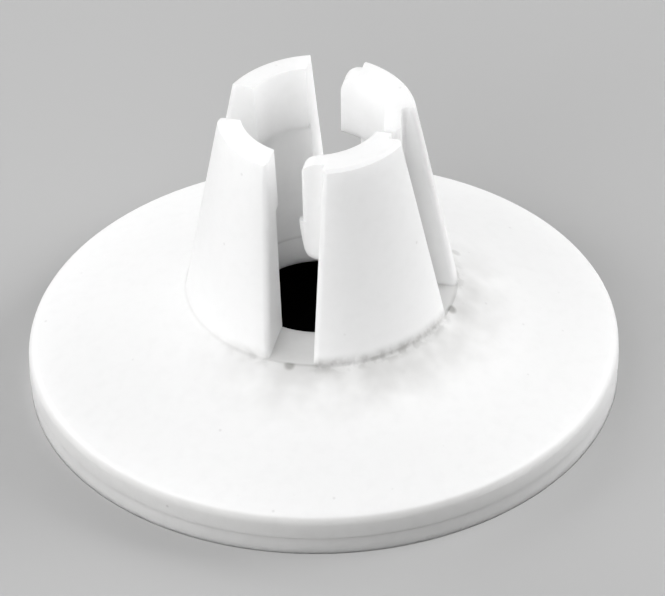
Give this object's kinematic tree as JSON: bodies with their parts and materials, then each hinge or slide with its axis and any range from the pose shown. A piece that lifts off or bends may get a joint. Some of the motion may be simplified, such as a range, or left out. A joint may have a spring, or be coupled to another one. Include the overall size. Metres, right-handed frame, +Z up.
{
  "type": "hole plug",
  "caption": "White moulded hole plug with a dished round flange and a tapered, slotted collar around an open centre bore.",
  "frame": {"origin": "middle of the circle on which the flange's rim stands, at the rim's foot", "axes": "+Z up along the bore axis towards the finger tips; the collar's slots run along X and Y, and the front of the plug faces -Y"},
  "size_m": [0.04, 0.04, 0.0222],
  "materials": {
    "body": "satin"
  },
  "bodies": {
    "root": {"plug_body": "body"}
  },
  "joints": []
}
